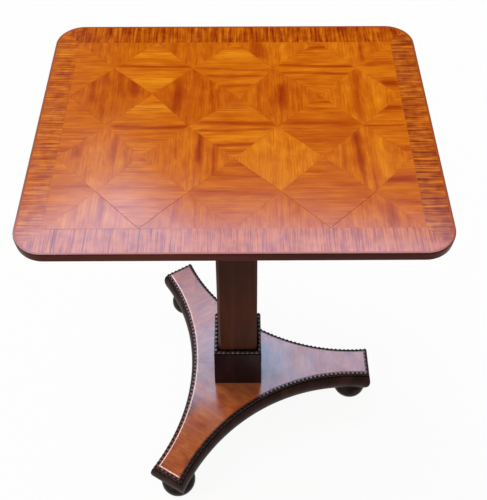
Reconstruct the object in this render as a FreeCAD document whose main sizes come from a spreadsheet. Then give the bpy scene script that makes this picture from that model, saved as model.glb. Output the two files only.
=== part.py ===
import FreeCAD, Part
import math
import os

import Sketcher

# Pedestal occasional table: a parquetry top on a square tapering column, a plinth with a
# bead moulding, and a three-armed platform with hollow sides, bead mouldings and bun feet.
# Millimetres, +Z up. The floor is z = 0 and the origin is under the middle of the whole
# table. The platform's first arm points along +X, the long way of the top.

# Driving sizes

driving_sizes = {
    # Top
    "table_height": 730.0,
    "top_thickness": 13.0,
    "top_corner": 34.0,
    "veneer": 1.0,
    "lozenge": 100.0,
    "crossband_side": 27.4,
    "crossband_front": 30.3,
    "lipping": 3.0,
    "lipping_arris": 1.2,
    "lipping_under_round": 2.6,
    # Blocks and bearers under the top
    "head_block_size": 150.0,
    "head_block_thickness": 22.0,
    "bearer_width": 36.0,
    "bearer_thickness": 18.0,
    "bearer_inset": 22.0,
    "bearer_spread": 125.0,
    "block_chamfer": 5.0,
    # Wood screws
    "screw_radius": 2.1,
    "screw_head_radius": 4.2,
    "screw_bite": 7.0,
    "screw_inset": 20.0,
    # Column
    "column_base": 66.5,
    "column_head": 54.6,
    "column_cant": 4.0,
    "tenon_radius": 17.0,
    "upper_tenon_radius": 14.0,
    "tenon_stop": 8.0,
    "wedge_thickness": 5.0,
    "wedge_height": 24.0,
    # Plinth
    "plinth_base": 86.0,
    "plinth_head": 81.6,
    "plinth_height": 117.7,
    # Platform
    "arm_length": 246.8,
    "arm_end_half": 28.8,
    "waist": 85.4,
    "platform_thickness": 69.0,
    "cushion_radius": 78.0,
    "cushion_under": 6.0,
    "cushion_lip": 0.5,
    "bead": 7.6,
    "bead_pitch": 7.85,
    # Feet
    "foot_height": 41.0,
    "foot_radius": 31.0,
    "foot_bulge": 18.5,
    "foot_neck": 14.0,
    "foot_setback": 25.8,
    "spigot_radius": 9.0,
    "spigot_length": 24.0,
    # Making
    "overrun": 2.0,
    "closeness": 0.001,
}

# Counts and shapes

sheet_column = "B"
arm_count = 3
lozenge_rows = 3
lozenge_columns = 4
screws_per_bearer = 3
quarter_turn = 90

# Carved bead section in shares of the moulding's width: out from its back, up from its bed.
# Between two beads the section shrinks towards the corner of its back and bed.
bead_section_shares = [(0, 0), (0.76, 0), (1, 0.3), (1, 0.72), (0.72, 1), (0.28, 1), (0, 0.76)]
bead_neck_share = 0.68

# How far each corner of the hand-laid lozenges lies from its true place, as shares of a
# lozenge. The key counts half lozenges from the middle, along X and along Y.
hand_laid_shares = {
    (-1, 2): (-0.032, -0.006),
    (1, 2): (-0.021, -0.003),
    (2, 3): (0.064, 0),
    (-2, 1): (0.006, 0.031),
    (0, 1): (0.064, -0.041),
    (2, 1): (0.040, -0.009),
    (-1, 0): (-0.041, -0.009),
    (1, 0): (-0.001, -0.024),
    (-2, -1): (-0.062, 0.021),
    (0, -1): (-0.010, -0.022),
    (3, -2): (0.014, -0.025),
    (-1, -2): (-0.013, -0.015),
}


class Size:
    """A length together with the sheet expression that gives it."""

    def __init__(self, value, text):
        self.value = value
        self.text = text

    def joined(self, other, sign, value):
        return Size(value, "(" + self.text + " " + sign + " " + other.text + ")")

    def __add__(self, other):
        other = as_size(other)
        return self.joined(other, "+", self.value + other.value)

    def __sub__(self, other):
        other = as_size(other)
        return self.joined(other, "-", self.value - other.value)

    def __mul__(self, other):
        other = as_size(other)
        return self.joined(other, "*", self.value * other.value)

    def __truediv__(self, other):
        other = as_size(other)
        return self.joined(other, "/", self.value / other.value)

    def __neg__(self):
        return self * -1


def as_size(number):
    if isinstance(number, Size):
        return number
    return Size(number, "(" + repr(number) + ")")


doc = FreeCAD.newDocument("occasional_table")
sheet = doc.addObject("Spreadsheet::Sheet", "Sizes")
for row, (alias, number) in enumerate(driving_sizes.items(), start=1):
    sheet.set("A" + str(row), alias.replace("_", " "))
    sheet.set(sheet_column + str(row), str(number))
    sheet.setAlias(sheet_column + str(row), alias)
doc.recompute()


def size(alias):
    return Size(float(driving_sizes[alias]), "Sizes." + alias)


# Sizes worked out from the driving ones

veneer = size("veneer")
overrun = size("overrun")
lipping = size("lipping")
field_half_x = size("lozenge") * lozenge_columns / 2
field_half_y = size("lozenge") * lozenge_rows / 2
top_half_x = field_half_x + size("crossband_side") + lipping
top_half_y = field_half_y + size("crossband_front") + lipping
table_height = size("table_height")
veneer_bed = table_height - veneer
top_underside = table_height - size("top_thickness")
block_underside = top_underside - size("head_block_thickness")

platform_bottom = size("foot_height")
platform_top = platform_bottom + size("platform_thickness")
core_top = platform_top - veneer
bead = size("bead")
bead_bed = platform_top - bead
plinth_top = platform_top + size("plinth_height")
plinth_bead = (size("plinth_head") - size("column_base")) / 2

arm_length = size("arm_length")
arm_end_half = size("arm_end_half")
waist = size("waist")
foot_spread = arm_length - size("foot_setback")
column_x = (top_half_x - foot_spread - size("foot_radius")) / 2

# The hollow sides are arcs whose centres lie between the arms. This distance puts the arc
# through both arm corners and leaves the waist.
arc_distance = (
    (arm_length * arm_length + arm_end_half * arm_end_half - waist * waist)
    / (arm_length + arm_end_half * math.sqrt(arm_count) - waist * 2)
)
arc_radius = arc_distance - waist
arm_angle = 360.0 / arm_count
column_place = FreeCAD.Vector(column_x.value, 0, 0)
closeness = driving_sizes["closeness"]


# Sketches and bodies


def bind(item, name, length):
    """Sets a property of an object or a sketch's constraint by a sheet expression."""
    item.setExpression(name, length.text)


def new_body(label):
    body = doc.addObject("PartDesign::Body", label)
    body.Label = label
    body.Placement = FreeCAD.Placement(column_place, FreeCAD.Rotation())
    bind(body, ".Placement.Base.x", column_x)
    return body


def origin_feature(body, role):
    for feature in body.Origin.OriginFeatures:
        if feature.Role == role:
            return feature
    raise ValueError(role)


def new_sketch(body, name, plane, across=None, up=None):
    """A sketch on one of the body's own planes, moved in it by across and along its normal by up."""
    sketch = body.newObject("Sketcher::SketchObject", name)
    sketch.AttachmentSupport = [(origin_feature(body, plane), "")]
    sketch.MapMode = "FlatFace"
    if across is not None:
        bind(sketch, ".AttachmentOffset.Base.x", across)
    if up is not None:
        bind(sketch, ".AttachmentOffset.Base.z", up)
    return sketch


def pin(sketch, edge, end, across, up):
    """Fixes one end of an edge at a place given by two sizes."""
    for kind, axis, length in (("DistanceX", -2, across), ("DistanceY", -1, up)):
        if length is None:
            sketch.addConstraint(Sketcher.Constraint("PointOnObject", edge, end, axis))
        else:
            number = sketch.addConstraint(Sketcher.Constraint(kind, -1, 1, edge, end, length.value))
            bind(sketch, "Constraints[" + str(number) + "]", length)


def outline(sketch, points, arcs=None):
    """A closed outline through points of two sizes, where None stands for zero.

    arcs holds the radius and the bulge's direction (+1 left, -1 right) of the edges that
    are round, keyed by the number of the point that they start from.
    """
    arcs = arcs or {}
    places = [
        FreeCAD.Vector(across.value if across else 0, up.value if up else 0, 0)
        for across, up in points
    ]
    for number, start in enumerate(places):
        end = places[(number + 1) % len(places)]
        if number in arcs:
            radius, direction = arcs[number]
            chord = end - start
            drop = math.sqrt(radius.value ** 2 - (chord.Length / 2) ** 2)
            left = FreeCAD.Vector(-chord.y, chord.x, 0).normalize()
            centre = (start + end) / 2 - left * (drop * direction)
            turning = (start, end) if direction < 0 else (end, start)
            angles = [math.atan2(place.y - centre.y, place.x - centre.x) for place in turning]
            full = Part.Circle(centre, FreeCAD.Vector(0, 0, 1), radius.value)
            edge = sketch.addGeometry(Part.ArcOfCircle(full, *angles))
            ends = (1, 2) if direction < 0 else (2, 1)
            pin(sketch, edge, ends[0], *points[number])
            pin(sketch, edge, ends[1], *points[(number + 1) % len(points)])
            constraint = sketch.addConstraint(Sketcher.Constraint("Radius", edge, radius.value))
            bind(sketch, "Constraints[" + str(constraint) + "]", radius)
        else:
            edge = sketch.addGeometry(Part.LineSegment(start, end))
            pin(sketch, edge, 1, *points[number])
            pin(sketch, edge, 2, *points[(number + 1) % len(points)])


def square(sketch, half_x, half_y):
    outline(sketch, [(-half_x, -half_y), (half_x, -half_y), (half_x, half_y), (-half_x, half_y)])


def canted_square(sketch, half, cant):
    inner = half - cant
    outline(sketch, [
        (-inner, -half), (inner, -half), (half, -inner), (half, inner),
        (inner, half), (-inner, half), (-half, inner), (-half, -inner),
    ])


def circle(sketch, across, up, radius):
    centre = FreeCAD.Vector(across.value if across else 0, up.value if up else 0, 0)
    edge = sketch.addGeometry(Part.Circle(centre, FreeCAD.Vector(0, 0, 1), radius.value))
    pin(sketch, edge, 3, across, up)
    number = sketch.addConstraint(Sketcher.Constraint("Radius", edge, radius.value))
    bind(sketch, "Constraints[" + str(number) + "]", radius)


def pad(body, sketch, name, length, midplane=False):
    feature = body.newObject("PartDesign::Pad", name)
    feature.Profile = sketch
    feature.Midplane = midplane
    bind(feature, "Length", length)
    doc.recompute()
    return feature


def pocket(body, sketch, name, length, upward=False, midplane=False):
    """Cuts the sketch into the body and stops if it removed nothing."""
    before = body.Shape.Volume
    feature = body.newObject("PartDesign::Pocket", name)
    feature.Profile = sketch
    feature.Reversed = upward
    feature.Midplane = midplane
    bind(feature, "Length", length)
    doc.recompute()
    if body.Shape.Volume >= before:
        raise RuntimeError(name + " cuts nothing")
    return feature


def turned(body, kind, sketch, name):
    """A revolution or a groove of the sketch about its own vertical axis."""
    feature = body.newObject("PartDesign::" + kind, name)
    feature.Profile = sketch
    feature.ReferenceAxis = (sketch, ["V_Axis"])
    feature.Angle = 360
    doc.recompute()
    return feature


def round_the_column(body, features, name):
    """Repeats features for every arm, about the column's axis."""
    pattern = body.newObject("PartDesign::PolarPattern", name)
    pattern.Originals = features
    pattern.Axis = (origin_feature(body, "Z_Axis"), [""])
    pattern.Angle = 360
    pattern.Occurrences = arm_count
    body.Tip = pattern
    doc.recompute()
    return pattern


def edge_names(shape, wanted):
    return ["Edge" + str(n) for n, edge in enumerate(shape.Edges, start=1) if wanted(edge)]


def is_upright(edge):
    start, end = edge.Vertexes[0].Point, edge.Vertexes[-1].Point
    run = end - start
    return abs(run.z) > 0.9 * run.Length > 0


def lies_at(height):
    def test(edge):
        return all(abs(vertex.Z - height) < closeness for vertex in edge.Vertexes)
    return test


def dressed(body, kind, base, edges, length_name, length):
    """A fillet or a chamfer on some edges of a feature."""
    feature = body.newObject("PartDesign::" + kind, body.Label + "_" + kind.lower())
    feature.Base = (base, edges)
    bind(feature, length_name, length)
    doc.recompute()
    return feature


def shape_node(label, shape, angle=0):
    """A sub-part whose shape is worked out from the sizes, turned about the column's axis."""
    node = doc.addObject("Part::Feature", label)
    node.Label = label
    node.Shape = shape
    turn = FreeCAD.Rotation(FreeCAD.Vector(0, 0, 1), angle)
    node.Placement = FreeCAD.Placement(column_place, turn)
    bind(node, ".Placement.Base.x", column_x)
    return node


# Shapes shared by several sub-parts


def slab(points, bottom, top):
    """A flat piece with the outline of plan points, from bottom to top."""
    wire = Part.makePolygon([FreeCAD.Vector(x, y, bottom) for x, y in points + points[:1]])
    return Part.Face(wire).extrude(FreeCAD.Vector(0, 0, top - bottom))


def rounded_plate(inset, bottom, top):
    """A plate with the table top's outline, set in all round."""
    half_x = top_half_x.value - inset
    half_y = top_half_y.value - inset
    plate = Part.makeBox(
        2 * half_x, 2 * half_y, top - bottom, FreeCAD.Vector(-half_x, -half_y, bottom)
    )
    corners = [edge for edge in plate.Edges if is_upright(edge)]
    corner = driving_sizes["top_corner"] - inset
    return plate.makeFillet(corner, corners) if corner > 0 else plate


def border_sectors():
    """The four parts of the border between the field's corners and the top's corners."""
    inner_x, inner_y = field_half_x.value, field_half_y.value
    outer_x, outer_y = top_half_x.value, top_half_y.value
    front = [(-inner_x, -inner_y), (-outer_x, -outer_y), (outer_x, -outer_y), (inner_x, -inner_y)]
    right = [(inner_x, -inner_y), (outer_x, -outer_y), (outer_x, outer_y), (inner_x, inner_y)]
    return {
        "front": front,
        "right": right,
        "back": [(x, -y) for x, y in front],
        "left": [(-x, y) for x, y in right],
    }


def turned_about_column(shape, angle):
    copy = shape.copy()
    copy.rotate(FreeCAD.Vector(), FreeCAD.Vector(0, 0, 1), angle)
    return copy


def arc_centre():
    """The centre of the hollow between the first arm and the next, seen from the column."""
    half_turn = math.radians(arm_angle / 2)
    return FreeCAD.Vector(math.cos(half_turn), math.sin(half_turn), 0) * arc_distance.value


def arm_corner(inset):
    """The corner between the first arm's end and that hollow, set in all round."""
    centre = arc_centre()
    x = arm_length.value - inset
    radius = arc_radius.value + inset
    return FreeCAD.Vector(x, centre.y - math.sqrt(radius ** 2 - (centre.x - x) ** 2), 0)


def platform_outline(inset, bottom, top):
    """The platform's plan, set in all round, from bottom to top."""
    reach = 2 * (arm_length.value - inset)
    corners = []
    for number in range(arm_count):
        angle = math.radians(arm_angle * (number + 0.5))
        corners.append((reach * math.cos(angle), reach * math.sin(angle)))
    plan = slab(corners, bottom, top)
    height = top - bottom
    for number in range(arm_count):
        hollow = Part.makeCylinder(
            arc_radius.value + inset, height, arc_centre() + FreeCAD.Vector(0, 0, bottom)
        )
        plan = plan.cut(turned_about_column(hollow, arm_angle * number))
    return plan


def mitre_foot():
    """Where the mitre at an arm's corner meets the arm's middle line."""
    outer = arm_corner(0)
    inner = arm_corner(bead.value)
    share = outer.y / (outer.y - inner.y)
    return outer + (inner - outer) * share


# Top


def make_top_board():
    body = new_body("top_board")
    plan = new_sketch(body, "top_board_plan", "XY_Plane", up=top_underside)
    square(plan, top_half_x - lipping, top_half_y - lipping)
    board = pad(body, plan, "top_board_pad", size("top_thickness") - veneer)
    corners = edge_names(board.Shape, is_upright)
    dressed(body, "Fillet", board, corners, "Radius", size("top_corner") - lipping)
    pilots = new_sketch(body, "top_board_pilots", "XY_Plane", up=top_underside)
    for across, up in block_screw_places() + bearer_screw_places():
        circle(pilots, across, up, size("screw_radius"))
    pocket(body, pilots, "top_board_pilot_holes", size("screw_bite"), upward=True)
    return body


def make_border(name, outer_inset, inner_plate, bottom, top, arrises=False):
    """Four strips round the top, mitred at its corners."""
    plate = rounded_plate(outer_inset, bottom, top)
    if arrises:
        upper = [edge for edge in plate.Edges if lies_at(top)(edge)]
        plate = plate.makeFillet(driving_sizes["lipping_arris"], upper)
        lower = [edge for edge in plate.Edges if lies_at(bottom)(edge)]
        plate = plate.makeFillet(driving_sizes["lipping_under_round"], lower)
    ring = plate.cut(inner_plate)
    for side, points in border_sectors().items():
        shape_node(name + "_" + side, ring.common(slab(points, bottom, top)))


def make_lipping():
    inner = rounded_plate(lipping.value, top_underside.value, table_height.value)
    make_border("lipping", 0, inner, top_underside.value, table_height.value, arrises=True)


def make_crossbanding():
    field = Part.makeBox(
        2 * field_half_x.value, 2 * field_half_y.value, veneer.value,
        FreeCAD.Vector(-field_half_x.value, -field_half_y.value, veneer_bed.value),
    )
    make_border("crossband", lipping.value, field, veneer_bed.value, table_height.value)


def lozenge_corner(column, row):
    lozenge = driving_sizes["lozenge"]
    shift_x, shift_y = hand_laid_shares.get((column, row), (0, 0))
    return ((column / 2 + shift_x) * lozenge, (row / 2 + shift_y) * lozenge)


def make_lozenge(column, row):
    """A lozenge of veneer round a lattice place, or the half that lies inside the field."""
    around = [(column - 1, row), (column, row - 1), (column + 1, row), (column, row + 1)]
    inside = [
        place for place in around
        if abs(place[0]) <= lozenge_columns and abs(place[1]) <= lozenge_rows
    ]
    points = [lozenge_corner(*place) for place in inside]
    return slab(points, veneer_bed.value, table_height.value)


def make_parquetry():
    """Lozenges with their grain along and across the top, whole ones and border halves."""
    groups = {
        "lozenges_long_grain": [], "half_lozenges_long_grain": [],
        "lozenges_cross_grain": [], "half_lozenges_cross_grain": [],
    }
    for row in range(-lozenge_rows, lozenge_rows + 1):
        for column in range(-lozenge_columns, lozenge_columns + 1):
            on_border = abs(row) == lozenge_rows or abs(column) == lozenge_columns
            crosswise = row % 2 == 1
            if (column % 2 == 1) != crosswise:
                continue
            grain = "cross_grain" if crosswise else "long_grain"
            kind = "half_lozenges_" if on_border else "lozenges_"
            groups[kind + grain].append(make_lozenge(column, row))
    for name, pieces in groups.items():
        shape_node(name, Part.makeCompound(pieces))


# Under the top


def block_screw_places():
    reach = size("head_block_size") / 2 - size("screw_inset")
    return [(-reach, -reach), (reach, -reach), (reach, reach), (-reach, reach)]


def bearer_half():
    return top_half_y - size("bearer_inset")


def bearer_screw_places():
    reach = bearer_half() - size("screw_inset")
    places = []
    for side in (-1, 1):
        for number in range(screws_per_bearer):
            share = 2 * number / (screws_per_bearer - 1) - 1
            up = reach * share if share else None
            places.append((size("bearer_spread") * side, up))
    return places


def make_screw(x, y, underside, length):
    """A countersunk wood screw driven up from an underside."""
    shank = driving_sizes["screw_radius"]
    head = driving_sizes["screw_head_radius"]
    base = FreeCAD.Vector(x, y, underside)
    countersink = Part.makeCone(head, shank, head - shank, base)
    return countersink.fuse(Part.makeCylinder(shank, length, base))


def make_screws(label, places, underside, thickness):
    """One group of like screws, through a piece and into the board above it."""
    length = thickness + driving_sizes["screw_bite"]
    screws = []
    for across, up in places:
        y = up.value if up else 0
        screws.append(make_screw(across.value, y, underside, length))
    return shape_node(label, Part.makeCompound(screws))


def bore_for_screws(body, name, places, underside, thickness):
    """Shank holes and countersinks for the screws in a piece."""
    shanks = new_sketch(body, name + "_shanks", "XY_Plane", up=underside)
    for across, up in places:
        circle(shanks, across, up, size("screw_radius"))
    holes = pocket(body, shanks, name + "_shank_holes", thickness, upward=True)
    rim = [
        edge for edge in holes.Shape.Edges
        if lies_at(underside.value)(edge) and is_screw_rim(edge)
    ]
    rims = edge_names(holes.Shape, lambda edge: any(edge.isSame(other) for other in rim))
    depth = size("screw_head_radius") - size("screw_radius")
    sinks = body.newObject("PartDesign::Chamfer", name + "_countersinks")
    sinks.Base = (holes, rims)
    bind(sinks, "Size", depth)
    doc.recompute()


def is_screw_rim(edge):
    curve = edge.Curve
    radius = driving_sizes["screw_radius"]
    return curve.TypeId == "Part::GeomCircle" and abs(curve.Radius - radius) < closeness


def make_head_block():
    body = new_body("head_block")
    plan = new_sketch(body, "head_block_plan", "XY_Plane", up=block_underside)
    half = size("head_block_size") / 2
    square(plan, half, half)
    block = pad(body, plan, "head_block_pad", size("head_block_thickness"))
    under = edge_names(block.Shape, lies_at(block_underside.value))
    dressed(body, "Chamfer", block, under, "Size", size("block_chamfer"))
    mortise = new_sketch(body, "head_block_mortise", "XY_Plane", up=block_underside)
    circle(mortise, None, None, size("upper_tenon_radius"))
    pocket(body, mortise, "head_block_bore", size("head_block_thickness"), upward=True)
    bore_for_screws(
        body, "head_block", block_screw_places(), block_underside, size("head_block_thickness")
    )
    make_screws(
        "head_block_screws", block_screw_places(), block_underside.value,
        driving_sizes["head_block_thickness"],
    )


def make_bearers():
    """Two cross battens that keep the top flat, one each side of the head block."""
    underside = top_underside - size("bearer_thickness")
    places = bearer_screw_places()
    for number, side in enumerate(("left", "right")):
        sign = 2 * number - 1
        body = new_body("bearer_" + side)
        plan = new_sketch(body, body.Label + "_plan", "XY_Plane", up=underside)
        middle = size("bearer_spread") * sign
        half = size("bearer_width") / 2
        reach = bearer_half()
        outline(plan, [
            (middle - half, -reach), (middle + half, -reach),
            (middle + half, reach), (middle - half, reach),
        ])
        batten = pad(body, plan, body.Label + "_pad", size("bearer_thickness"))
        under = edge_names(batten.Shape, lies_at(underside.value))
        dressed(body, "Chamfer", batten, under, "Size", size("block_chamfer"))
        own = places[number * screws_per_bearer:(number + 1) * screws_per_bearer]
        bore_for_screws(body, body.Label, own, underside, size("bearer_thickness"))
    make_screws(
        "bearer_screws", places, underside.value, driving_sizes["bearer_thickness"]
    )


# Column and plinth


def tenon_wedge(grow):
    """The wedge that spreads the lower tenon, wider at the tenon's end."""
    bottom = (platform_bottom + size("tenon_stop")).value
    height = driving_sizes["wedge_height"]
    half = driving_sizes["wedge_thickness"] / 2
    reach = driving_sizes["tenon_radius"] + grow
    section = [
        FreeCAD.Vector(-half, -reach, bottom),
        FreeCAD.Vector(half, -reach, bottom),
        FreeCAD.Vector(0, -reach, bottom + height),
    ]
    face = Part.Face(Part.makePolygon(section + section[:1]))
    return face.extrude(FreeCAD.Vector(0, 2 * reach, 0))


def make_column():
    """A square column that narrows upwards, canted at its corners, with a tenon at each end."""
    body = new_body("column_turnery")
    foot = new_sketch(body, "column_foot_plan", "XY_Plane", up=plinth_top)
    canted_square(foot, size("column_base") / 2, size("column_cant"))
    head = new_sketch(body, "column_head_plan", "XY_Plane", up=block_underside)
    canted_square(head, size("column_head") / 2, size("column_cant"))
    shaft = body.newObject("PartDesign::AdditiveLoft", "column_shaft")
    shaft.Profile = foot
    shaft.Sections = [head]
    shaft.Ruled = True
    doc.recompute()
    lower = new_sketch(body, "column_lower_tenon_plan", "XY_Plane",
                       up=platform_bottom + size("tenon_stop"))
    circle(lower, None, None, size("tenon_radius"))
    pad(body, lower, "column_lower_tenon", plinth_top - platform_bottom - size("tenon_stop"))
    upper = new_sketch(body, "column_upper_tenon_plan", "XY_Plane", up=block_underside)
    circle(upper, None, None, size("upper_tenon_radius"))
    pad(body, upper, "column_upper_tenon", size("head_block_thickness"))
    kerf = doc.addObject("Part::Feature", "tenon_kerf")
    kerf.Shape = tenon_wedge(overrun.value)
    kerf.Placement = FreeCAD.Placement(column_place, FreeCAD.Rotation())
    bind(kerf, ".Placement.Base.x", column_x)
    column = doc.addObject("Part::Cut", "column")
    column.Base = body
    column.Tool = kerf
    tenon = Part.makeCylinder(
        driving_sizes["tenon_radius"], driving_sizes["wedge_height"],
        FreeCAD.Vector(0, 0, (platform_bottom + size("tenon_stop")).value),
    )
    shape_node("tenon_wedge", tenon_wedge(0).common(tenon))


def make_plinth():
    body = new_body("plinth_block")
    foot = new_sketch(body, "plinth_foot_plan", "XY_Plane", up=platform_top)
    square(foot, size("plinth_base") / 2, size("plinth_base") / 2)
    head = new_sketch(body, "plinth_head_plan", "XY_Plane", up=plinth_top)
    square(head, size("plinth_head") / 2, size("plinth_head") / 2)
    block = body.newObject("PartDesign::AdditiveLoft", "plinth_batter")
    block.Profile = foot
    block.Sections = [head]
    block.Ruled = True
    doc.recompute()
    rebate = new_sketch(body, "plinth_rebate_plan", "XY_Plane", up=plinth_top)
    square(rebate, size("plinth_base") / 2, size("plinth_base") / 2)
    square(rebate, size("column_base") / 2, size("column_base") / 2)
    pocket(body, rebate, "plinth_rebate", plinth_bead)
    bore = new_sketch(body, "plinth_bore_plan", "XY_Plane", up=plinth_top)
    circle(bore, None, None, size("tenon_radius"))
    pocket(body, bore, "plinth_bore", size("plinth_height"))


# Platform


def moulding_points(wall, rise):
    """The hollow's cutter: the cushioned side and the rebate for the beads above it.

    wall gives the place of the platform's edge, set in by a size, in the sketch.
    """
    return [
        (wall(size("cushion_under") + veneer), rise(platform_bottom - overrun)),
        (wall(size("cushion_under") + veneer), rise(platform_bottom)),
        (wall(veneer - size("cushion_lip")), rise(bead_bed)),
        (wall(bead), rise(bead_bed)),
        (wall(bead), rise(platform_top + overrun)),
    ]


def make_platform_core():
    body = new_body("platform_core")
    reach = arm_length + bead
    across = reach * math.sqrt(arm_count)
    plan = new_sketch(body, "platform_plan", "XY_Plane", up=platform_bottom)
    outline(plan, [(-reach * 2, None), (reach, -across), (reach, across)])
    pad(body, plan, "platform_blank", size("platform_thickness") - veneer)

    cutter = new_sketch(body, "side_cutter_profile", "XZ_Plane", across=-arc_distance)
    side = moulding_points(lambda inset: arc_radius + inset, lambda up: up)
    outline(
        cutter,
        [(None, platform_bottom - overrun)] + side + [(None, platform_top + overrun)],
        arcs={2: (size("cushion_radius"), 1)},
    )
    before = body.Shape.Volume
    sides = turned(body, "Groove", cutter, "side_cutter")
    if body.Shape.Volume >= before:
        raise RuntimeError("side_cutter cuts nothing")
    round_the_column(body, [sides], "hollow_sides")

    trimmer = new_sketch(body, "end_cutter_profile", "XZ_Plane")
    end = moulding_points(lambda inset: arm_length - inset, lambda up: up)
    far = arm_length + bead + overrun
    outline(
        trimmer,
        [(far, platform_bottom - overrun)] + end + [(far, platform_top + overrun)],
        arcs={2: (size("cushion_radius"), -1)},
    )
    ends = pocket(body, trimmer, "end_cutter", arm_length * 2, midplane=True)
    round_the_column(body, [ends], "arm_ends")

    mortise = new_sketch(body, "platform_mortise_plan", "XY_Plane", up=platform_bottom)
    circle(mortise, None, None, size("tenon_radius"))
    pocket(body, mortise, "platform_mortise", size("platform_thickness"), upward=True)
    socket = new_sketch(body, "foot_socket_plan", "XY_Plane", up=platform_bottom)
    circle(socket, foot_spread, None, size("spigot_radius"))
    hole = pocket(body, socket, "foot_socket", size("spigot_length"), upward=True)
    round_the_column(body, [hole], "foot_sockets")


def cushion_section(wall):
    """The section of the side veneer: two like arcs, a veneer's thickness apart."""
    lip = -driving_sizes["cushion_lip"]
    under = driving_sizes["cushion_under"]
    bottom, top = platform_bottom.value, bead_bed.value
    radius = driving_sizes["cushion_radius"]
    edges = []
    ends = []
    for inset in (0, veneer.value):
        low = FreeCAD.Vector(wall(under + inset), 0, bottom)
        high = FreeCAD.Vector(wall(lip + inset), 0, top)
        chord = high - low
        rise = radius - math.sqrt(radius ** 2 - (chord.Length / 2) ** 2)
        outward = FreeCAD.Vector(wall(0) - wall(1), 0, 0)
        normal = (outward - chord * (outward.dot(chord) / chord.Length ** 2)).normalize()
        edges.append(Part.Arc(low, (low + high) / 2 + normal * rise, high).toShape())
        ends.append((low, high))
    for number in (0, 1):
        edges.append(Part.makeLine(ends[0][number], ends[1][number]))
    return Part.Face(Part.Wire(Part.__sortEdges__(edges)))


def end_sector():
    """The triangle of the first arm's end between its two mitres."""
    foot = mitre_foot()
    corner = arm_corner(0)
    far = foot + (corner - foot) * 2
    return [(foot.x, 0), (far.x, far.y), (far.x, -far.y)]


def side_sector():
    """The part of the plan between the mitres on both sides of one hollow."""
    foot = mitre_foot()
    corner = arm_corner(0)
    far = foot + (corner - foot) * 2
    centre = arc_centre()
    points = [foot, far, centre]
    turn = FreeCAD.Rotation(FreeCAD.Vector(0, 0, 1), arm_angle)
    mirror_far = turn.multVec(FreeCAD.Vector(far.x, -far.y, 0))
    points += [mirror_far, turn.multVec(FreeCAD.Vector(foot.x, 0, 0))]
    return [(0, 0)] + [(point.x, point.y) for point in points]


side_names = ("back", "left", "front")
arm_names = ("right", "back_left", "front_left")


def make_side_veneers():
    """Veneer on the three cushioned hollows and on the three arm ends, mitred together."""
    bottom, top = platform_bottom.value, bead_bed.value
    centre = arc_centre()
    section = cushion_section(lambda inset: arc_radius.value + inset)
    band = section.revolve(FreeCAD.Vector(), FreeCAD.Vector(0, 0, 1), 360)
    band.translate(centre)
    side = band.common(slab(side_sector(), bottom, top))
    half = driving_sizes["arm_end_half"] * 2
    section = cushion_section(lambda inset: arm_length.value - inset)
    section.translate(FreeCAD.Vector(0, -half, 0))
    end = section.extrude(FreeCAD.Vector(0, 2 * half, 0)).common(slab(end_sector(), bottom, top))
    for number in range(arm_count):
        angle = arm_angle * number
        shape_node("side_veneer_" + side_names[number], side, angle)
        shape_node("end_veneer_" + arm_names[number], end, angle)


def make_top_leaves():
    """The platform's top veneer: one leaf along each arm, jointed between the arms."""
    bottom, top = core_top.value, platform_top.value
    panel = platform_outline(bead.value, bottom, top)
    bore = Part.makeCylinder(driving_sizes["tenon_radius"], top - bottom,
                             FreeCAD.Vector(0, 0, bottom))
    panel = panel.cut(bore)
    reach = 2 * arm_length.value
    half_turn = math.radians(arm_angle / 2)
    x, y = reach * math.cos(half_turn), reach * math.sin(half_turn)
    leaf = panel.common(slab([(0, 0), (x, -y), (reach, -y), (reach, y), (x, y)], bottom, top))
    for number in range(arm_count):
        shape_node("platform_leaf_" + arm_names[number], leaf, arm_angle * number)


# Bead mouldings


def bead_moulding(length, width, place):
    """A strip carved with beads, flat on its back and bed.

    place turns a share along the strip (-1 to 1), a distance out from the back and a height
    over the bed into a point.
    """
    count = max(round(length / driving_sizes["bead_pitch"]), 1)
    sections = []
    for station in range(2 * count + 1):
        along = station / count - 1
        girth = width * bead_neck_share if station % 2 else width
        points = [place(along, out * girth, up * girth) for out, up in bead_section_shares]
        sections.append(Part.makePolygon(points + points[:1]))
    return Part.makeLoft(sections, True, True)


def mitred_angle(radius):
    """Half the angle of a hollow's arc, from its middle to the mitre, at a radius."""
    centre = arc_centre()
    foot = mitre_foot()
    run = arm_corner(0) - foot
    offset = foot - centre
    a = run.dot(run)
    b = 2 * offset.dot(run)
    c = offset.dot(offset) - radius ** 2
    share = (-b - math.sqrt(b ** 2 - 4 * a * c)) / (2 * a)
    meeting = offset + run * share
    return (-centre).getAngle(meeting)


def make_platform_beads():
    width = bead.value
    bed = bead_bed.value
    centre = arc_centre()
    toward_column = math.atan2(-centre.y, -centre.x)

    def place_on_side(along, out, up):
        radius = arc_radius.value + width - out
        angle = toward_column + along * mitred_angle(radius)
        ray = FreeCAD.Vector(math.cos(angle), math.sin(angle), 0)
        return centre + ray * radius + FreeCAD.Vector(0, 0, bed + up)

    foot = mitre_foot()
    corner = arm_corner(0)

    def place_on_end(along, out, up):
        x = arm_length.value - width + out
        reach = corner.y * (x - foot.x) / (corner.x - foot.x)
        return FreeCAD.Vector(x, along * reach, bed + up)

    side_length = 2 * mitred_angle(arc_radius.value) * arc_radius.value
    side = bead_moulding(side_length, width, place_on_side)
    end = bead_moulding(2 * arm_end_half.value, width, place_on_end)
    for number in range(arm_count):
        angle = arm_angle * number
        shape_node("side_beading_" + side_names[number], side, angle)
        shape_node("end_beading_" + arm_names[number], end, angle)


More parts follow.
